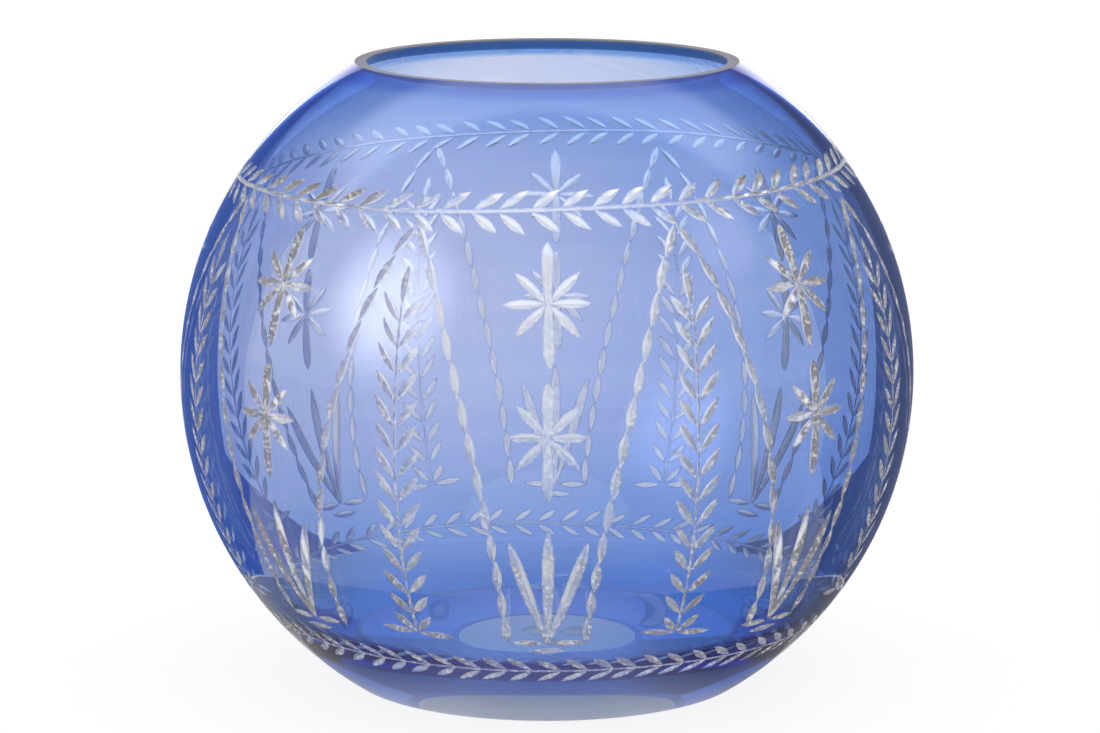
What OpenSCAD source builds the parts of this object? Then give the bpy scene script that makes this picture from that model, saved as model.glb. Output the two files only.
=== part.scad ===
// A ball-shaped vase of cased glass: a clear crystal body with a thin cobalt casing fused over
// its outside and its foot. The origin is the centre of the foot, on the table, and +Z is up.

/* [Ball] */
// Diameter of the ball, over the casing
ball_d = 248; // [240:1:256]
// Height of the ball's centre above the table
centre_h = 104; // [100:1:108]
// Height of the flat rim above the table
vase_h = 210; // [208:1:212]

/* [Glass] */
// Thickness of the wall, casing included
wall_t = 4.2; // [3.8:0.1:5]
// Thickness of the cobalt casing
casing_t = 0.25; // [0.2:0.05:0.6]
// Thickness of the bottom at its centre, from the table to the floor inside
bottom_t = 13; // [10:0.5:16]
// Radius of the shallow dish that the floor inside follows
floor_r = 500; // [400:10:600]
// Radius of the rounded corner between the floor and the wall inside
corner_r = 38; // [32:1:44]

/* [Mouth] */
// Inside diameter of the mouth
mouth_d = 121; // [119:0.5:123]
// Radius of the rounded edge between the inside of the ball and the mouth
lip_r = 3.7; // [3:0.1:4]

/* [Foot] */
// Diameter of the shallow ground hollow that takes the pontil mark off the foot
pontil_d = 68; // [50:1:80]
// Depth of that hollow
pontil_h = 1.5; // [1:0.1:2]

/* [Hidden] */
$fn = 180;

ball_r = ball_d / 2;
crystal_r = ball_r - casing_t;
cavity_r = ball_r - wall_t;
mouth_r = mouth_d / 2;

// The hollow under the foot is a cap of a large sphere.
pontil_r = (pow(pontil_d / 2, 2) + pow(pontil_h, 2)) / (2 * pontil_h);

// The lip is an arc that touches the ball's inside from without, and the mouth's straight edge.
lip_x = mouth_r + lip_r;
lip_z = centre_h + sqrt(pow(cavity_r + lip_r, 2) - pow(lip_x, 2));
lip_touch = [lip_x, lip_z - centre_h] * cavity_r / (cavity_r + lip_r) + [0, centre_h];

// The corner is an arc that touches both the ball's inside and the floor's dish.
dish_z = bottom_t + floor_r;
ball_gap = cavity_r - corner_r;
dish_gap = floor_r - corner_r;
corner_z = (pow(ball_gap, 2) - pow(dish_gap, 2) - pow(centre_h, 2) + pow(dish_z, 2))
    / (2 * (dish_z - centre_h));
corner_x = sqrt(pow(ball_gap, 2) - pow(corner_z - centre_h, 2));
wall_touch = [corner_x, corner_z - centre_h] * cavity_r / ball_gap + [0, centre_h];
dish_touch = [corner_x, corner_z - dish_z] * floor_r / dish_gap + [0, dish_z];

// Everything on the axis's right side, from one height up to another.
module band(low, high) {
    translate([0, low]) square([ball_d, high - low]);
}

module disc(r, height) {
    translate([0, height]) circle(r = r);
}

// Half the outline of a ball of the given radius, cut off flat at the given foot and at the rim.
module ball_outline(r, foot) {
    intersection() {
        disc(r, centre_h);
        band(foot, vase_h);
    }
}

// What lies outside the rounded corner, between the two points where its arc touches.
module corner_waste() {
    corner = [corner_x, corner_z];
    beyond = (wall_touch + dish_touch) - corner;
    difference() {
        polygon([corner, wall_touch, beyond, dish_touch]);
        translate(corner) circle(r = corner_r);
    }
}

// The space inside, below the lip.
module belly_outline() {
    difference() {
        intersection() {
            disc(cavity_r, centre_h);
            disc(floor_r, dish_z);
            band(0, lip_touch[1]);
        }
        corner_waste();
    }
}

// The mouth, which the rounded lip leads into.
module mouth_outline() {
    low = lip_touch[1] - 1;
    low_r = lip_touch[0] - 2;
    top = vase_h + 1;
    difference() {
        polygon([
            [0, low], [low_r, low], lip_touch, [lip_x, lip_z], [mouth_r, lip_z], [mouth_r, top], [0, top]
        ]);
        translate([lip_x, lip_z]) circle(r = lip_r);
    }
}

module pontil_outline() {
    disc(pontil_r, pontil_h - pontil_r);
}

module crystal_body() {
    color("aliceblue", 0.35)
        rotate_extrude()
            difference() {
                ball_outline(crystal_r, casing_t);
                belly_outline();
                mouth_outline();
                pontil_outline();
            }
}

module cobalt_casing() {
    color("royalblue", 0.6)
        rotate_extrude()
            difference() {
                ball_outline(ball_r, 0);
                ball_outline(crystal_r, casing_t);
                pontil_outline();
            }
}

crystal_body();
cobalt_casing();
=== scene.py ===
"""Looks of the cut crystal vase: two glass pieces, the clear body and the cobalt casing over it,
both cut through by the same wheel cuts, on a plain white floor in soft studio light."""

import math
import random

import bpy
import numpy as np
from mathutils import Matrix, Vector


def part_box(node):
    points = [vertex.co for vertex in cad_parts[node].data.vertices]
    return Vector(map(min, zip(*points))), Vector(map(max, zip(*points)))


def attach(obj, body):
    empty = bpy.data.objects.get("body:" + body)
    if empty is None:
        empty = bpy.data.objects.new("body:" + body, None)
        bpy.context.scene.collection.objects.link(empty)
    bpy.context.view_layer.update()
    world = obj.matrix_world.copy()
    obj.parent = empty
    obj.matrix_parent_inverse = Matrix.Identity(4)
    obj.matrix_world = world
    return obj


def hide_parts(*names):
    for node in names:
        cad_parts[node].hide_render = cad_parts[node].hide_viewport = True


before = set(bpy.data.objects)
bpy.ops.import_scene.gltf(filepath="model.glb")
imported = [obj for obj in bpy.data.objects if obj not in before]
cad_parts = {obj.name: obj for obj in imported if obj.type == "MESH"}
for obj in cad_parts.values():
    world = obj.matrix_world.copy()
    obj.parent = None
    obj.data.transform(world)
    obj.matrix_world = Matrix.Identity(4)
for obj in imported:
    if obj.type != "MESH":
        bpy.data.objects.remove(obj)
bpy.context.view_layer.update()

MM = 0.001
DEG = math.pi / 180

# The vase's own sizes, as in the CAD model. The casing reaches from the table to the rim.
CASING_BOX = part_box("cobalt_casing")
BALL_R = 124 * MM
CENTRE_H = 104 * MM
VASE_H = CASING_BOX[1][2] - CASING_BOX[0][2]
CASING_T = 0.25 * MM
WALL_T = 4.2 * MM
BOTTOM_T = 13 * MM
FLOOR_R = 500 * MM
CORNER_R = 38 * MM
MOUTH_R = 60.5 * MM
LIP_R = 3.7 * MM
PONTIL_R = 34 * MM
PONTIL_H = 1.5 * MM

CRYSTAL_R = BALL_R - CASING_T
CAVITY_R = BALL_R - WALL_T
# The crystal stops this far short of the casing, so that no two faces lie in the same place.
FUSE_GAP = 0.01 * MM
SEGMENTS = 224
# How far a profile's arcs turn from point to point: the ball's, and those of small radius.
ARC_STEP = 1.6 * DEG
CORNER_STEP = 4 * DEG
SHARP = 24 * DEG

# The wheel's edge: half of its angle, how far a cutter stands above the glass, and how far its tips do.
WHEEL_HALF_ANGLE = 56 * DEG
CUTTER_RISE = 1.2 * MM
TIP_RISE = 0.02 * MM
STATIONS = 12
# A ring cut takes its direction, at each place, from two others this many radians before and after it.
NEARBY = 0.01

CENTRE = Vector((0, 0, CENTRE_H))


# ---------------------------------------------------------------- places on the ball


def radial(lon, lat):
    """The unit vector out of the ball. Longitude 0 faces -Y and grows towards +X."""
    return Vector((math.cos(lat) * math.sin(lon), -math.cos(lat) * math.cos(lon), math.sin(lat)))


def north_east(lon, lat):
    north = Vector((-math.sin(lat) * math.sin(lon), math.sin(lat) * math.cos(lon), math.cos(lat)))
    east = Vector((math.cos(lon), math.sin(lon), 0))
    return north, east


def bearing(lon, lat, lon_to, lat_to):
    """The heading, from north towards east, and the distance along the ball from one place to another."""
    here, there = radial(lon, lat), radial(lon_to, lat_to)
    north, east = north_east(lon, lat)
    return math.atan2(there.dot(east), there.dot(north)), BALL_R * here.angle(there)


def ahead(lon, lat, heading, distance):
    """The place reached from another by going straight along the ball."""
    north, east = north_east(lon, lat)
    tangent = north * math.cos(heading) + east * math.sin(heading)
    a = distance / BALL_R
    p = radial(lon, lat) * math.cos(a) + tangent * math.sin(a)
    return math.atan2(p.x, -p.y), math.asin(max(-1, min(1, p.z)))


# ---------------------------------------------------------------- cutters


class Cutter:
    """A closed wedge that one cut takes out: a spine below the glass and two edges above it."""

    def __init__(self, stations, closed=False):
        self.verts, self.faces = [], []
        tan = math.tan(WHEEL_HALF_ANGLE)
        for outward, side, half in stations:
            depth = half / tan if half > 0 else -TIP_RISE
            spread = (depth + CUTTER_RISE) * tan
            top = CENTRE + outward * (BALL_R + CUTTER_RISE)
            self.verts += [CENTRE + outward * (BALL_R - depth), top - side * spread, top + side * spread]
        n = len(stations)
        for i in range(n if closed else n - 1):
            a, b = 3 * i, 3 * ((i + 1) % n)
            self.faces += [(a, a + 1, b + 1, b), (a, b, b + 2, a + 2), (a + 1, a + 2, b + 2, b + 1)]
        if not closed:
            e = 3 * (n - 1)
            self.faces += [(0, 2, 1), (e, e + 1, e + 2)]
        xs = [v.x for v in self.verts]
        ys = [v.y for v in self.verts]
        zs = [v.z for v in self.verts]
        self.low = Vector((min(xs), min(ys), min(zs)))
        self.high = Vector((max(xs), max(ys), max(zs)))

    def near(self, other):
        return all(self.low[k] <= other.high[k] and other.low[k] <= self.high[k] for k in range(3))


def blade(t, peak, root, blunt):
    """The relative half-width of a cut at t along it: root at its start, 1 at its peak and 0 at its tip."""
    if t < peak:
        return root + (1 - root) * math.sin(math.pi / 2 * t / peak)
    return max(0.0, 1 - ((t - peak) / (1 - peak)) ** 2) ** blunt


def straight_cut(lon, lat, heading, length, width, peak=0.5, root=0.0, blunt=1.0, stations=STATIONS):
    north, east = north_east(lon, lat)
    start = radial(lon, lat)
    tangent = north * math.cos(heading) + east * math.sin(heading)
    side = tangent.cross(start)
    rows = []
    for i in range(stations + 1):
        # Closer together at both ends, where the outline turns.
        t = 0.5 - 0.5 * math.cos(math.pi * i / stations)
        a = t * length / BALL_R
        half = width / 2 * blade(t, peak, root, blunt)
        rows.append((start * math.cos(a) + tangent * math.sin(a), side, half))
    return Cutter(rows)


def ring_cut(lat_at, width, steps=240):
    """A cut that runs right round the ball, at the latitude that lat_at gives for each longitude."""
    rows = []
    for i in range(steps):
        lon = 2 * math.pi * i / steps
        lat = lat_at(lon)
        along = radial(lon + NEARBY, lat_at(lon + NEARBY)) - radial(lon - NEARBY, lat_at(lon - NEARBY))
        outward = radial(lon, lat)
        rows.append((outward, along.normalized().cross(outward), width / 2))
    return Cutter(rows, closed=True)


# ---------------------------------------------------------------- the pattern

REPEATS = 8
REPEAT = 2 * math.pi / REPEATS
hand = random.Random(7)

# The cutter spaced the panels by eye: degrees that each star panel and each arch is off its place.
STAR_DRIFT = [0.15, -1.2, 0.6, -0.5, -1.7, 0.9, -0.4, -1.5]
ARCH_DRIFT = [0.2, -1.3, 0.4, -0.8, 0.5, 0.9, -1.4, -0.3]

UPPER_LAT = 34.9 * DEG
UPPER_TILT = 1.4 * DEG
UPPER_LEAVES = 66
UPPER_STEM = 1.5 * MM
UPPER_LEAF = dict(length=11.3 * MM, width=3.3 * MM, angle=37, gap=0.5 * MM)
LOWER_LAT = -40.1 * DEG
LOWER_TILT = -0.4 * DEG
LOWER_LEAVES = 70
LOWER_STEM = 1.0 * MM
LOWER_LEAF = dict(length=9.9 * MM, width=2.7 * MM, angle=35, gap=0.35 * MM)
BACK_LIFT = 2.6 * DEG

# Degrees up to each star's middle, its share of the lift at the back, and its arms: up, down, across, slanting.
HIGH_STAR = 20.9, 0.1, (20.1 * MM, 20.7 * MM, 14.3 * MM, 14.7 * MM)
LOW_STAR = 1.2, 0.35, (17.4 * MM, 20.9 * MM, 13.2 * MM, 14.2 * MM)
ARM_UP = dict(width=4.1 * MM, peak=0.74, root=0.5, blunt=0.75)
ARM_DOWN = dict(width=4.0 * MM, peak=0.70, root=0.5, blunt=0.8)
ARM_ASIDE = dict(width=3.3 * MM, peak=0.56, root=0.06)

# Degrees east and up to the tip of each blade of a fan. Its foot has a leaf on each side and one below.
FAN_FOOT = -33.4 * DEG
FAN_TIPS = (-5.9, -14.6), (0.05, -12.6), (6.3, -14.8)
FAN_BLADE = dict(width=4.0 * MM, peak=0.72, root=0.28, blunt=0.8, stations=16)
FAN_LEAF = dict(length=11.2 * MM, width=2.7 * MM)
FAN_LOWEST = dict(length=12.4 * MM, width=2.7 * MM)

ARCH_TOP = 32.0 * DEG
ARCH_FOOT = -33.4 * DEG
ARCH_SPREAD = 15.7 * DEG
ARCH_LINKS = 13
LINK_TURN = 3.6 * DEG
LINK_OVERLAP = 1.12

FERN_TOP = 17.3 * DEG
FERN_FOOT = -32.4 * DEG
FERN_PAIRS = 14
FERN_TIP = dict(length=13.2 * MM, width=3.3 * MM)
FERN_LOWEST = dict(length=12.2 * MM, width=2.8 * MM)
FERN_STEM = dict(width=0.95 * MM, peak=0.3, root=0.9, blunt=0.3, stations=6)


def jitter(amount):
    return hand.uniform(-amount, amount)


def lift(lon):
    """How much higher the lower half of the pattern sits towards the back."""
    return BACK_LIFT * (1 - math.cos(lon)) / 2


def upper_lat(lon):
    return UPPER_LAT + UPPER_TILT * math.sin(lon) + 0.15 * DEG * math.sin(5 * lon + 1)


def lower_lat(lon):
    return LOWER_LAT + LOWER_TILT * math.sin(lon) + 0.7 * lift(lon) + 0.12 * DEG * math.sin(4 * lon)


def star(lon, lat, up, down, across, slant):
    cuts = []
    for k in range(8):
        heading = k * math.pi / 4 + jitter(1.5 * DEG)
        if k == 0:
            cuts.append(straight_cut(lon, lat, heading, up, **ARM_UP))
        elif k == 4:
            cuts.append(straight_cut(lon, lat, heading, down, **ARM_DOWN))
        else:
            length = (across if k % 2 == 0 else slant) * (1 + jitter(0.04))
            cuts.append(straight_cut(lon, lat, heading, length, **ARM_ASIDE))
    return cuts


def fan(lon):
    lat = FAN_FOOT + lift(lon)
    cuts = []
    for east, lat_tip in FAN_TIPS:
        tip = lon + (east + jitter(0.3)) * DEG, (lat_tip + jitter(0.4)) * DEG + lift(lon)
        heading, length = bearing(lon, lat, *tip)
        cuts.append(straight_cut(lon, lat, heading, length, **FAN_BLADE))
    for side in (-1, 1):
        heading = side * 90 * DEG + jitter(1.5 * DEG)
        start = ahead(lon, lat - 0.1 * DEG, heading, 0.9 * MM)
        cuts.append(straight_cut(*start, heading, **FAN_LEAF))
    start = ahead(lon + jitter(0.4 * DEG), lat - 2 * DEG, -90 * DEG, FAN_LOWEST["length"] / 2)
    cuts.append(straight_cut(*start, 90 * DEG + jitter(1.5 * DEG), **FAN_LOWEST))
    return cuts


def arch_offset(t):
    """How far an arch's leg is from its middle, in radians, at t down from its top."""
    return ARCH_SPREAD * (0.3 * math.sqrt(t) + 0.7 * (1 - (1 - t) ** 1.9))


def arch(lon, twist):
    cuts = []
    drop = (ARCH_TOP - ARCH_FOOT - lift(lon)) / ARCH_LINKS
    for side in (-1, 1):
        for i in range(ARCH_LINKS):
            t0, t1 = i / ARCH_LINKS, (i + 1) / ARCH_LINKS
            at = (lon + side * arch_offset(t0) + side * 0.25 * DEG, ARCH_TOP - i * drop)
            to = (lon + side * arch_offset(t1) + side * 0.25 * DEG, ARCH_TOP - (i + 1) * drop)
            heading, length = bearing(*at, *to)
            # Each link is turned a little against the leg, which gives the chain its twist.
            turn = twist * LINK_TURN + jitter(1.2 * DEG)
            middle = ahead(*at, heading, length / 2)
            start = ahead(*middle, heading + turn + math.pi, length * LINK_OVERLAP / 2)
            heading, _ = bearing(*start, *middle)
            cuts.append(straight_cut(*start, heading, length * LINK_OVERLAP, (3.2 + jitter(0.2)) * MM))
    return cuts


def fern(lon, lean):
    cuts = []
    foot_lat = FERN_FOOT + lift(lon)
    pitch = (FERN_TOP - foot_lat) / (FERN_PAIRS - 1)

    def stem_lon(lat):
        bend = math.sin((lat - foot_lat) / (FERN_TOP - foot_lat) * math.pi * 0.75)
        return lon + lean * (0.6 * bend - 0.5) * DEG

    for i in range(FERN_PAIRS):
        lat = FERN_TOP - i * pitch + jitter(0.15 * DEG)
        at = stem_lon(lat)
        low = i / (FERN_PAIRS - 1)
        length = (11.4 + 1.2 * math.sin(low * math.pi) - 1.6 * low) * MM
        if i == FERN_PAIRS - 1:
            length = 9.4 * MM
        for side, angle in ((-1, 32 + 6 * low), (1, 38 + 3 * low)):
            heading = side * (angle + jitter(2.5)) * DEG
            start = ahead(at, lat, side * 90 * DEG, 0.35 * MM)
            size = 1 + jitter(0.05)
            cuts.append(straight_cut(*start, heading, length * size, (2.9 + jitter(0.15)) * MM, peak=0.52))
    # The leaf at the top, and the two at the foot that lie nearly flat.
    start = ahead(stem_lon(FERN_TOP), FERN_TOP, 0, 5.4 * MM)
    cuts.append(straight_cut(*start, lean * 2 * DEG, **FERN_TIP))
    foot = stem_lon(foot_lat)
    for side, angle in ((-1, 84), (1, 96)):
        start = ahead(foot, foot_lat - 0.2 * DEG, side * 90 * DEG, 0.3 * MM)
        cuts.append(straight_cut(*start, side * angle * DEG, **FERN_LOWEST))
    # The stem, in short straight cuts that follow its bend.
    pieces = 5
    for i in range(pieces):
        low = foot_lat + (FERN_TOP + 2.6 * DEG - foot_lat) * i / pieces
        high = foot_lat + (FERN_TOP + 2.6 * DEG - foot_lat) * (i + 1) / pieces + 0.5 * DEG
        heading, length = bearing(stem_lon(low), low, stem_lon(high), high)
        cuts.append(straight_cut(stem_lon(low), low, heading, length, **FERN_STEM))
    return cuts


def garland(lat_at, count, way, length, width, angle, gap):
    """A leaf above and a leaf below the stem at each step right round the ball."""
    cuts = []
    for i in range(count):
        lon = 2 * math.pi * (i + 0.5 + jitter(0.08)) / count
        for side in (-1, 1):
            start = ahead(lon, lat_at(lon), 0 if side > 0 else math.pi, gap)
            heading = way * (90 * DEG - side * (angle + jitter(3)) * DEG)
            size = 1 + jitter(0.06)
            cuts.append(straight_cut(*start, heading, length * size, width * (1 + jitter(0.07)), peak=0.52))
    return cuts


def all_cuts():
    cuts = [ring_cut(upper_lat, UPPER_STEM), ring_cut(lower_lat, LOWER_STEM)]
    cuts += garland(upper_lat, UPPER_LEAVES, 1, **UPPER_LEAF)
    cuts += garland(lower_lat, LOWER_LEAVES, -1, **LOWER_LEAF)
    for k in range(REPEATS):
        lon = k * REPEAT + STAR_DRIFT[k] * DEG
        for lat, rise, arms in (HIGH_STAR, LOW_STAR):
            cuts += star(lon, (lat + jitter(0.4)) * DEG + rise * lift(lon), *arms)
        cuts += fan(lon)
        lon = (k + 0.5) * REPEAT + ARCH_DRIFT[k] * DEG
        twist = 1 if k % 2 else -1
        cuts += arch(lon, twist)
        cuts += fern(lon, twist)
    return cuts


def batches(cuts):
    """Sorts the cutters into groups in which none comes near another."""
    groups = []
    for cut in cuts:
        for group in groups:
            if not any(cut.near(other) for other in group):
                group.append(cut)
                break
        else:
            groups.append([cut])
    return groups


# ---------------------------------------------------------------- solids of revolution


def arc(centre_z, centre_x, r, start, end, step=ARC_STEP):
    """Profile points on an arc, from one elevation to another, both included."""
    n = max(2, math.ceil(abs(end - start) / step))
    turns = [start + (end - start) * i / n for i in range(n + 1)]
    return [(centre_x + r * math.cos(t), centre_z + r * math.sin(t)) for t in turns]


def revolve(name, parts, materials):
    """A closed mesh from profile parts, each a list of (x, z) points and the slot of its faces."""
    points, slots = [], []
    for part, slot in parts:
        for p in part if not points else part[1:]:
            if points:
                slots.append(slot)
            points.append(p)
    if math.dist(points[0], points[-1]) < 1e-7:
        points.pop()
    verts, rings = [], []
    for x, z in points:
        if x < 1e-6:
            rings.append([len(verts)])
            verts.append((0, 0, z))
        else:
            rings.append(list(range(len(verts), len(verts) + SEGMENTS)))
            for i in range(SEGMENTS):
                a = 2 * math.pi * (i + 0.5) / SEGMENTS
                verts.append((x * math.sin(a), -x * math.cos(a), z))
    faces, face_slots = [], []
    for k, slot in enumerate(slots):
        low, high = rings[k], rings[(k + 1) % len(rings)]
        for i in range(SEGMENTS):
            j = (i + 1) % SEGMENTS
            if len(low) == 1 and len(high) == 1:
                continue
            if len(low) == 1:
                face = (low[0], high[j], high[i])
            elif len(high) == 1:
                face = (low[i], low[j], high[0])
            else:
                face = (low[i], low[j], high[j], high[i])
            faces.append(face)
            face_slots.append(slot)
    mesh = bpy.data.meshes.new(name)
    mesh.from_pydata(verts, [], faces)
    for m in materials:
        mesh.materials.append(m)
    mesh.polygons.foreach_set("material_index", face_slots)
    mesh.update()
    piece = bpy.data.objects.new(name, mesh)
    bpy.context.scene.collection.objects.link(piece)
    return piece


def elevation(r, z):
    return math.asin((z - CENTRE_H) / r)


def pontil_arc(low, high):
    """The profile of the hollow under the foot, from one height above the table up to another."""
    r = (PONTIL_R**2 + PONTIL_H**2) / (2 * PONTIL_H)
    middle = PONTIL_H - r
    start, end = (math.asin((z - middle) / r) for z in (low, high))
    return arc(middle, 0, r, start, end, step=0.5 * DEG)


def body_profile(clear, fused, ground, satin, pontil):
    """The crystal body's outline, anticlockwise from the middle of the foot."""
    r = CRYSTAL_R - FUSE_GAP
    foot = CASING_T + FUSE_GAP
    hollow = pontil_arc(foot, PONTIL_H)[::-1]
    hollow[0] = (0, PONTIL_H)
    outside = arc(CENTRE_H, 0, r, elevation(r, foot), elevation(r, VASE_H))
    # The lip's arc touches the ball's inside and the mouth's straight edge.
    lip_x = MOUTH_R + LIP_R
    lip_z = CENTRE_H + math.sqrt((CAVITY_R + LIP_R) ** 2 - lip_x**2)
    touch = math.atan2(lip_z - CENTRE_H, lip_x)
    lip = arc(lip_z, lip_x, LIP_R, math.pi, math.pi + touch, step=CORNER_STEP)
    upper = arc(CENTRE_H, 0, CAVITY_R, touch, 0)
    # The corner's arc touches the ball's inside and the floor's dish.
    dish_z = BOTTOM_T + FLOOR_R
    ball_gap, dish_gap = CAVITY_R - CORNER_R, FLOOR_R - CORNER_R
    corner_z = (ball_gap**2 - dish_gap**2 - CENTRE_H**2 + dish_z**2) / (2 * (dish_z - CENTRE_H))
    corner_x = math.sqrt(ball_gap**2 - (corner_z - CENTRE_H) ** 2)
    wall_turn = math.atan2(corner_z - CENTRE_H, corner_x)
    dish_turn = math.atan2(corner_z - dish_z, corner_x)
    inside = upper + arc(CENTRE_H, 0, CAVITY_R, 0, wall_turn)[1:]
    corner = arc(corner_z, corner_x, CORNER_R, wall_turn, dish_turn, step=CORNER_STEP)
    floor = arc(dish_z, 0, FLOOR_R, dish_turn, -math.pi / 2, step=1 * DEG)
    floor[-1] = (0, BOTTOM_T)
    rim_middle = (outside[-1][0] * 0.5 + MOUTH_R * 0.5, VASE_H)
    return [
        (hollow, pontil),
        ([hollow[-1], outside[0]], fused),
        (outside, fused),
        ([outside[-1], rim_middle, (MOUTH_R, VASE_H)], ground),
        ([(MOUTH_R, VASE_H), lip[0]], ground),
        (lip, satin),
        (inside, clear),
        (corner, clear),
        (floor, clear),
    ]


def casing_profile(skin, film, ground, foot_skin, foot_film_and_shade):
    """The casing's outline, anticlockwise from the edge of the foot."""
    outer = arc(CENTRE_H, 0, BALL_R, elevation(BALL_R, 0), elevation(BALL_R, VASE_H))
    inner = arc(CENTRE_H, 0, CRYSTAL_R, elevation(CRYSTAL_R, VASE_H), elevation(CRYSTAL_R, CASING_T))
    polished = pontil_arc(0, CASING_T)[::-1]
    return [
        (outer, skin),
        ([outer[-1], inner[0]], ground),
        (inner, film),
        ([inner[-1], polished[0]], foot_film_and_shade),
        (polished, foot_skin),
        ([polished[-1], outer[0]], foot_skin),
    ]


def cutter_object(group, materials, slot):
    verts, faces = [], []
    for cut in group:
        base = len(verts)
        verts += [tuple(v) for v in cut.verts]
        faces += [tuple(base + i for i in f) for f in cut.faces]
    mesh = bpy.data.meshes.new("cutters")
    mesh.from_pydata(verts, [], faces)
    for m in materials:
        mesh.materials.append(m)
    mesh.polygons.foreach_set("material_index", [slot] * len(faces))
    tool = bpy.data.objects.new("cutters", mesh)
    bpy.context.scene.collection.objects.link(tool)
    return tool


def engrave(piece, groups, slot):
    """Takes every group of cutters out of the piece, one group at a time."""
    for group in groups:
        tool = cutter_object(group, list(piece.data.materials), slot)
        step = piece.modifiers.new("cut", "BOOLEAN")
        step.operation = "DIFFERENCE"
        step.solver = "MANIFOLD"
        step.object = tool
        result = bpy.data.meshes.new_from_object(piece.evaluated_get(bpy.context.evaluated_depsgraph_get()))
        piece.modifiers.clear()
        old = piece.data
        piece.data = result
        bpy.data.meshes.remove(old)
        old = tool.data
        bpy.data.objects.remove(tool)
        bpy.data.meshes.remove(old)


def shade(piece, outward_slots, inward_slots):
    """Smooth shading with sharp edges, and the ball's own normals on the faces that lie on it."""
    mesh = piece.data
    mesh.shade_smooth()
    mesh.set_sharp_from_angle(angle=SHARP)
    count = len(mesh.loops)
    slots = np.zeros(len(mesh.polygons), np.int32)
    totals = np.zeros(len(mesh.polygons), np.int32)
    corner_verts = np.zeros(count, np.int32)
    places = np.zeros(len(mesh.vertices) * 3, np.float32)
    mesh.polygons.foreach_get("material_index", slots)
    mesh.polygons.foreach_get("loop_total", totals)
    mesh.loops.foreach_get("vertex_index", corner_verts)
    mesh.vertices.foreach_get("co", places)
    corner_slots = np.repeat(slots, totals)
    out = places.reshape(-1, 3)[corner_verts] - np.array(CENTRE)
    out /= np.linalg.norm(out, axis=1, keepdims=True)
    normals = np.zeros((count, 3))
    for k in outward_slots:
        normals[corner_slots == k] = out[corner_slots == k]
    for k in inward_slots:
        normals[corner_slots == k] = -out[corner_slots == k]
    mesh.normals_split_custom_set(normals.tolist())


# ---------------------------------------------------------------- materials


class Nodes:
    """A node tree, emptied, and short ways to add to it."""

    def __init__(self, tree):
        self.tree = tree
        tree.nodes.clear()

    def add(self, kind, **values):
        node = self.tree.nodes.new(kind)
        for key, value in values.items():
            if key in node.bl_rna.properties:
                setattr(node, key, value)
            else:
                node.inputs[key.replace("_", " ")].default_value = value
        return node

    def link(self, out, into):
        self.tree.links.new(out, into)

    def maths(self, operation, *terms):
        node = self.add("ShaderNodeMath", operation=operation)
        for socket, term in zip(node.inputs, terms):
            if isinstance(term, (int, float)):
                socket.default_value = term
            else:
                self.link(term, socket)
        return node.outputs[0]

    def between(self, value, start, end, most, least=0):
        """Goes smoothly from the least at start to the most at end."""
        node = self.add("ShaderNodeMapRange", interpolation_type="SMOOTHSTEP")
        self.link(value, node.inputs["Value"])
        for socket, number in (("From Min", start), ("From Max", end), ("To Min", least), ("To Max", most)):
            node.inputs[socket].default_value = number
        return node.outputs[0]

    def axes(self, vector):
        """The three parts of a vector."""
        split = self.add("ShaderNodeSeparateXYZ")
        self.link(vector, split.inputs[0])
        return split.outputs

    def mixed(self, share, first, second):
        """Two shaders, with a share of the second that is a number or a socket."""
        node = self.add("ShaderNodeMixShader")
        if isinstance(share, float):
            node.inputs[0].default_value = share
        else:
            self.link(share, node.inputs[0])
        self.link(first, node.inputs[1])
        self.link(second, node.inputs[2])
        return node.outputs[0]


class Material(Nodes):
    def __init__(self, name, colour=(1, 1, 1)):
        self.material = bpy.data.materials.new(name)
        self.material.use_nodes = True
        self.material.diffuse_color = (*colour, 1)
        super().__init__(self.material.node_tree)
        self.output = self.add("ShaderNodeOutputMaterial")

    def place(self):
        """Where on the object each point lies."""
        return self.add("ShaderNodeTexCoord").outputs["Object"]

    def made_of(self, shader):
        """Puts the shader on the surface and gives the finished material."""
        self.link(shader, self.output.inputs["Surface"])
        return self.material

    def clear_air(self):
        return self.add("ShaderNodeBsdfTransparent", Color=(1, 1, 1, 1)).outputs[0]


GLASS_IOR = 1.52

# How strongly a film of relative thickness 1 takes out red, green and blue.
COBALT_ABSORPTION = (0.60, 0.47, 0.17)
# Cobalt takes light out by bands, so green and blue fall off more slowly where the glass is thick.
BAND_POWERS = (1, 0.76, 0.58)

# The casing's relative thickness: plain, and the most that is added low on the wall, on the shoulder,
# at the rim and to the east.
PLAIN_FILM = 0.83
LOW_FILM = 0.115
SHOULDER_FILM = 0.28
RIM_FILM = 2.0
SIDE_FILM = 0.45
# How closely the rings left by blowing lie, along X, Y and Z, and how thin and how uneven they make the film.
RINGS = (6, 6, 90)
RINGS_THIN = 0.73
RINGS_DEPTH = 0.3
# The least share of the light's way that counts as straight through, so that the edge doesn't go black.
STEEPEST = 0.4

# The film's relative thickness under the foot.
FOOT_THICKNESS = 1.6
# Painted shade: the foot's film colour is darkened by this share, for the little light that comes up through
# the foot from the surface it stands on.
FOOT_SHADE = 0.85

# The bright grains in the cuts are about a millimetre apart, and cover at most this share of a spot.
GRAIN_SCALE = 950
GRAIN_SHARE = 0.5


def clear_glass(name):
    m = Material(name)
    look = dict(Base_Color=(1, 1, 1, 1), Roughness=0.0, IOR=GLASS_IOR, Transmission_Weight=1.0)
    return m.made_of(m.add("ShaderNodeBsdfPrincipled", **look).outputs[0])


def seen_through(name, colour):
    m = Material(name, colour)
    return m.made_of(m.add("ShaderNodeBsdfTransparent", Color=(*colour, 1)).outputs[0])


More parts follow.
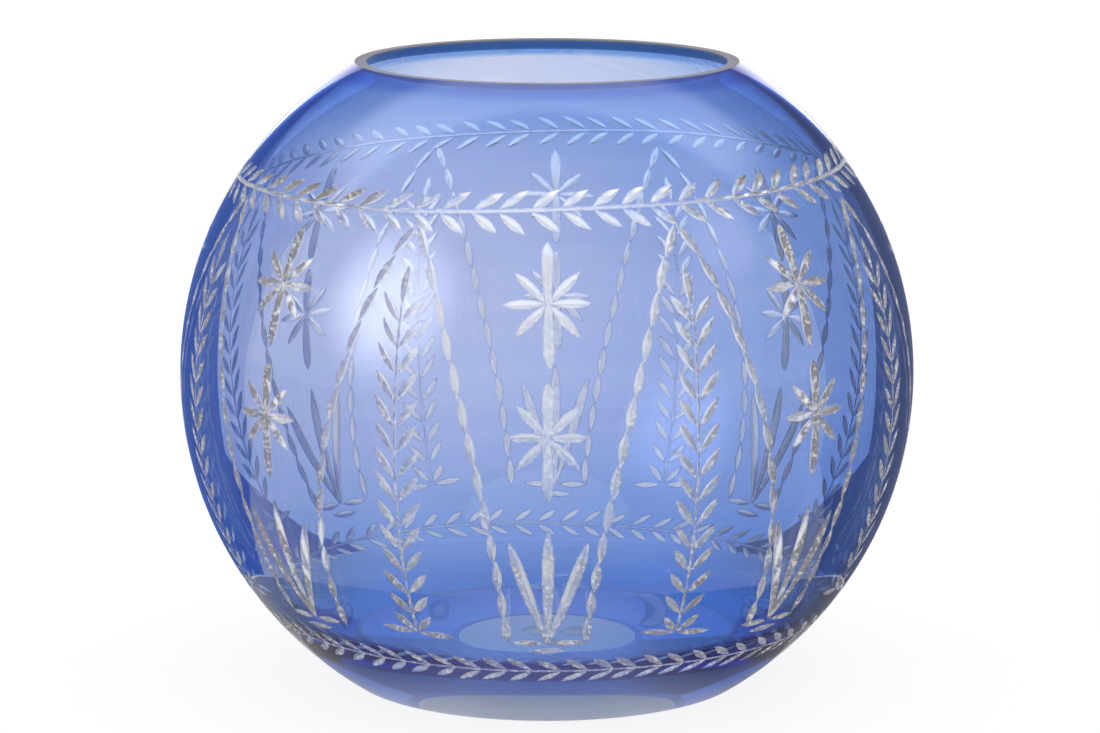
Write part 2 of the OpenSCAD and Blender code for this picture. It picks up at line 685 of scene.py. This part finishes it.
def cobalt_film(name):
    """The colour of one pass through the casing, which blowing left uneven."""
    m = Material(name, [math.exp(-a) for a in COBALT_ABSORPTION])
    place = m.place()
    x, y, z = m.axes(place)
    east, depth = (m.maths("DIVIDE", part, BALL_R) for part in (x, y))
    height = m.maths("DIVIDE", m.maths("SUBTRACT", z, CENTRE_H), BALL_R)
    # Thicker low on the ball, but in front not at the foot.
    kept = m.maths("MAXIMUM", m.between(height, -0.8, -0.66, 1), m.between(depth, -0.2, 0.3, 1))
    downward = m.maths("EXPONENT", m.maths("DIVIDE", height, -0.25))
    low = m.maths("MULTIPLY", downward, m.maths("MULTIPLY", kept, LOW_FILM))
    # Thicker on the shoulder in front, at the rim and to the east.
    shoulder = m.maths("EXPONENT", m.maths("DIVIDE", m.maths("SUBTRACT", height, 0.6), 0.12))
    high = m.maths("MULTIPLY", shoulder, m.between(depth, 0.6, 0.1, SHOULDER_FILM))
    rim = m.between(height, 0.812, 0.835, RIM_FILM)
    side = m.between(east, -0.3, 0.7, SIDE_FILM)
    extra = m.maths("ADD", m.maths("ADD", low, high), m.maths("ADD", rim, side))
    # Faint rings, as blown glass has, that wander a little as they go round.
    rings = m.add("ShaderNodeTexNoise", Scale=1.0, Detail=2.0)
    stretch = m.add("ShaderNodeMapping", Scale=RINGS)
    m.link(place, stretch.inputs[0])
    m.link(stretch.outputs[0], rings.inputs["Vector"])
    uneven = m.maths("MULTIPLY_ADD", rings.outputs[0], RINGS_DEPTH, RINGS_THIN)
    # Light that goes through at a slant meets more of the glass.
    slant = m.add("ShaderNodeLayerWeight", Blend=0.5)
    facing = m.maths("SUBTRACT", 1.0, slant.outputs["Facing"])
    path = m.maths("DIVIDE", 1.0, m.maths("MAXIMUM", facing, STEEPEST))
    thickness = m.maths("MULTIPLY", m.maths("MULTIPLY", m.maths("ADD", extra, PLAIN_FILM), uneven), path)
    colour = m.add("ShaderNodeCombineColor")
    for socket, absorption, power in zip(colour.inputs, COBALT_ABSORPTION, BAND_POWERS):
        band = m.maths("MULTIPLY", m.maths("POWER", thickness, power), -absorption)
        m.link(m.maths("EXPONENT", band), socket)
    tint = m.add("ShaderNodeBsdfTransparent")
    m.link(colour.outputs[0], tint.inputs["Color"])
    return m.made_of(tint.outputs[0])


def ground_glass(name, tone=(1, 1, 1), hazy=0.36, off=0.5, ior=1.18, grains=False):
    """A ground surface: part rough glass, and part a haze that light comes through and, by a share, off."""
    m = Material(name, tone)
    look = dict(Base_Color=(1, 1, 1, 1), Roughness=0.3, IOR=ior, Transmission_Weight=1.0)
    glass = m.add("ShaderNodeBsdfPrincipled", **look).outputs[0]
    red, green, blue = tone
    through = m.add("ShaderNodeBsdfTranslucent", Color=(0.94 * red, 0.94 * green, 0.94 * blue, 1)).outputs[0]
    chalk = m.add("ShaderNodeBsdfDiffuse", Color=(0.96 * red, 0.92 * green, 0.84 * blue, 1)).outputs[0]
    surface = m.mixed(hazy, glass, m.mixed(off, through, chalk))
    if grains:
        grain = m.add("ShaderNodeTexNoise", Scale=GRAIN_SCALE, Detail=2.0, Roughness=0.7)
        m.link(m.place(), grain.inputs["Vector"])
        surface = m.mixed(m.between(grain.outputs[0], 0.5, 0.62, GRAIN_SHARE), surface, chalk)
    return m.made_of(surface)


# ---------------------------------------------------------------- the two pieces

clear = clear_glass("clear_crystal")
fused = seen_through("fused_face", (1, 1, 1))
film = cobalt_film("cobalt_film")
# The foot's film colour: the casing's tint at the foot's thickness, darkened by the painted shade of
# FOOT_SHADE.
foot_bands = [a * FOOT_THICKNESS**power for a, power in zip(COBALT_ABSORPTION, BAND_POWERS)]
foot_film_and_shade = seen_through("foot_film_and_shade", [FOOT_SHADE * math.exp(-band) for band in foot_bands])
satin = ground_glass("satin_lip", tone=(0.19, 0.45, 1.0), hazy=0.72, off=0.15, ior=GLASS_IOR)
ground = ground_glass("ground_cut", grains=True)
edge = ground_glass("ground_edge", tone=(0.46, 0.45, 0.45), hazy=0.8, off=0.4)
pontil = ground_glass("ground_pontil", tone=(0.42, 0.45, 0.50), hazy=0.8, off=0.1)

groups = batches(all_cuts())

body_materials = [clear, fused, ground, edge, satin, pontil]
body = revolve("vase_crystal_body", body_profile(0, 1, 3, 4, 5), body_materials)
engrave(body, groups, 2)
shade(body, outward_slots=[1], inward_slots=[])

casing_materials = [clear, film, ground, edge, clear, foot_film_and_shade]
casing = revolve("vase_cobalt_casing", casing_profile(0, 1, 3, 4, 5), casing_materials)
engrave(casing, groups, 2)
shade(casing, outward_slots=[0], inward_slots=[1])

for piece, node, slot in ((body, "crystal_body", "clear_crystal"), (casing, "cobalt_casing", "cobalt_glass")):
    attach(piece, "root")
    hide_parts(node)

# ---------------------------------------------------------------- the studio

scene = bpy.context.scene

FLOOR_HALF = 12
FLOOR_DROP = 0.2 * MM
FLOOR_GLOW = 0.86

# The studio as the glass sees it: each soft light's direction, the degrees off it at which it is
# still full and is gone, and its brightness.
LIGHTS = (
    ((0, -1, 0), 98, 128, 1.25),  # a tent in front
    ((0, 1, 0.05), 12, 24, 1.0),  # the backdrop
    ((0, 1, 0.25), 30, 85, 0.7),  # the room behind it
    ((0.75, -0.2, 0.63), 3, 14, 1.2),  # a lamp on one side
)
ROOM = 0.06
# A long strip overhead, from side to side, a little behind the vase: where each edge starts and is full.
STRIP = 1.3
STRIP_NEAR = (0.08, 0.2)
STRIP_FAR = (0.60, 0.44)
STRIP_SIDES = (0.50, 0.70)

# The soft box: which way and how far it is from the vase, how wide, and how much of it is at full strength.
KEY_DIRECTION = Vector((-0.73, -0.53, 0.43))
KEY_DISTANCE = 2
KEY_SIZE = 1.9
KEY_STRENGTH = 6.0
KEY_CORE = 0.15

# The dark cards lie between two distances from the vase's axis and stand up at the further one.
FLAG_NEAR, FLAG_FAR, FLAG_HEIGHT = 0.14, 0.35, 0.6
FLAG_STEPS = 24
# The glowing rings on the floor, which only the glass sees, paint light and shade on the floor round the foot:
# the first pair ends under the edge of the foot.
FOOT_R = 66 * MM
RING_STEPS = 32


def stage(name, material, verts, faces, for_glass=True):
    """A piece of the studio. Only the glass sees it, unless it is the floor."""
    mesh = bpy.data.meshes.new(name)
    mesh.from_pydata(verts, [], faces)
    mesh.materials.append(material)
    piece = bpy.data.objects.new(name, mesh)
    if for_glass:
        piece.visible_camera = piece.visible_diffuse = piece.visible_shadow = False
    scene.collection.objects.link(piece)
    return piece


def floor_sweep():
    """A large white floor, lit a little from below."""
    m = Material("white_floor")
    look = dict(Base_Color=(0.12, 0.12, 0.12, 1), Roughness=1.0, Emission_Color=(1, 1, 1, 1))
    look |= dict(Specular_IOR_Level=0.0, Emission_Strength=FLOOR_GLOW)
    paint = m.add("ShaderNodeBsdfPrincipled", **look)
    corners = [(x * FLOOR_HALF, y * FLOOR_HALF, -FLOOR_DROP) for x, y in ((-1, -1), (1, -1), (1, 1), (-1, 1))]
    stage("floor", m.made_of(paint.outputs[0]), corners, [(0, 1, 2, 3)], for_glass=False)


def flag(name, start, end, colour):
    """A dark card beside the vase that turns up and then fades out. Angles run from +Y towards +X."""
    m = Material(name, colour)
    card = m.add("ShaderNodeEmission", Color=(*colour, 1), Strength=1.0).outputs[0]
    fade = m.between(m.axes(m.place())["Z"], 0.4 * FLAG_HEIGHT, FLAG_HEIGHT, 1)
    verts, faces = [], []
    for i in range(FLAG_STEPS + 1):
        a = start + (end - start) * i / FLAG_STEPS
        for r, z in ((FLAG_NEAR, 1 * MM), (FLAG_FAR, 1 * MM), (FLAG_FAR, FLAG_HEIGHT)):
            verts.append((r * math.sin(a), r * math.cos(a), z))
        if i:
            faces += [(3 * i - 3 + k, 3 * i + k, 3 * i + k + 1, 3 * i - 2 + k) for k in range(2)]
    stage(name, m.made_of(m.mixed(fade, card, m.clear_air())), verts, faces)


def floor_light_and_shade(name, start, end, near, far, strengths, inner=0.25, outer=0.6):
    """Part of a glowing ring on the floor under or round the vase, as painted light and painted shade on the
    floor, with its strengths on the left, midway and right.
    """
    m = Material(name)
    left, middle, right = strengths
    x = m.axes(m.place())["X"]
    rise = m.between(x, -outer * far, -inner * far, middle, least=left)
    fall = m.between(x, inner * far, outer * far, right - middle)
    light = m.add("ShaderNodeEmission")
    m.link(m.maths("ADD", rise, fall), light.inputs["Strength"])
    verts = []
    for i in range(RING_STEPS + 1):
        a = start + (end - start) * i / RING_STEPS
        verts += [(r * math.sin(a), r * math.cos(a), -FLOOR_DROP / 2) for r in (near, far)]
    faces = [(2 * i, 2 * i + 2, 2 * i + 3, 2 * i + 1) for i in range(RING_STEPS)]
    stage(name, m.made_of(light.outputs[0]), verts, faces)


def key_panel():
    """A soft box whose light fades towards its edges. It only shows as a gloss on the glass."""
    m = Material("key")
    away = m.add("ShaderNodeVectorMath", operation="LENGTH")
    m.link(m.place(), away.inputs[0])
    light = m.add("ShaderNodeEmission")
    m.link(m.between(away.outputs["Value"], KEY_CORE, 1, 0, least=KEY_STRENGTH), light.inputs["Strength"])
    both = m.add("ShaderNodeAddShader")
    m.link(light.outputs[0], both.inputs[0])
    m.link(m.clear_air(), both.inputs[1])
    corners = [(-1, -1, 0), (1, -1, 0), (1, 1, 0), (-1, 1, 0)]
    panel = stage("key", m.made_of(both.outputs[0]), corners, [(0, 1, 2, 3)])
    panel.location = CENTRE + KEY_DISTANCE * KEY_DIRECTION.normalized()
    panel.rotation_euler = (CENTRE - panel.location).to_track_quat("Z", "Y").to_euler()
    panel.scale = (KEY_SIZE / 2, KEY_SIZE / 2, 1)


def surroundings():
    world = bpy.data.worlds.new("studio")
    scene.world = world
    world.use_nodes = True
    sky = Nodes(world.node_tree)
    direction = sky.add("ShaderNodeTexCoord").outputs["Generated"]
    total = ROOM
    for toward, full, nothing, strength in LIGHTS:
        dot = sky.add("ShaderNodeVectorMath", operation="DOT_PRODUCT")
        sky.link(direction, dot.inputs[0])
        dot.inputs[1].default_value = Vector(toward).normalized()
        lobe = sky.between(dot.outputs["Value"], math.cos(nothing * DEG), math.cos(full * DEG), strength)
        total = sky.maths("ADD", lobe, total)
    _, y, z = sky.axes(direction)
    length = sky.maths("MULTIPLY", sky.between(y, *STRIP_NEAR, STRIP), sky.between(y, *STRIP_FAR, 1))
    strip = sky.maths("MULTIPLY", length, sky.between(z, *STRIP_SIDES, 1))
    background = sky.add("ShaderNodeBackground", Strength=1.0)
    sky.link(sky.maths("ADD", total, strip), background.inputs["Color"])
    sky.link(background.outputs[0], sky.add("ShaderNodeOutputWorld").inputs["Surface"])


floor_sweep()
# Painted light on the floor under the back of the foot, and painted shade under its front and on the floor
# round it.
floor_light_and_shade("foot_lit", -100 * DEG, 100 * DEG, PONTIL_R, FOOT_R, (1.35, 1.35, 1.35))
floor_light_and_shade("foot_shade", 100 * DEG, 260 * DEG, PONTIL_R, FOOT_R, (0.7, 0.9, 0.5))
floor_light_and_shade("shade_behind", -90 * DEG, 90 * DEG, FOOT_R, FLAG_NEAR, (0.4, 0.95, 0.22), 0.4, 0.8)
floor_light_and_shade("shade_before", 90 * DEG, 270 * DEG, FOOT_R, FLAG_NEAR, (0.36, 0.95, 0.25), 0.16, 0.5)
surroundings()
key_panel()
flag("flag_right", 29 * DEG, 100 * DEG, (0.14, 0.165, 0.25))
flag("flag_left", -90 * DEG, -29 * DEG, (0.10, 0.18, 0.48))

# ---------------------------------------------------------------- the camera

CAMERA_DISTANCE = 12 * BALL_R
CAMERA_RISE = 10.96 * DEG
LENS_MM = 143.56
SHIFT = (0.0028, 0.0042)

lens = bpy.data.cameras.new("camera")
lens.sensor_width = 36
lens.lens = LENS_MM
lens.shift_x, lens.shift_y = SHIFT
camera = bpy.data.objects.new("camera", lens)
camera.location = CENTRE + CAMERA_DISTANCE * Vector((0, -math.cos(CAMERA_RISE), math.sin(CAMERA_RISE)))
camera.rotation_euler = (CENTRE - camera.location).to_track_quat("-Z", "Y").to_euler()
scene.collection.objects.link(camera)
scene.camera = camera

# Light passes through many walls of glass and cuts.
scene.view_settings.view_transform = "Standard"
scene.cycles.max_bounces = 32
scene.cycles.transmission_bounces = 24
scene.cycles.transparent_max_bounces = 48
scene.cycles.glossy_bounces = 12
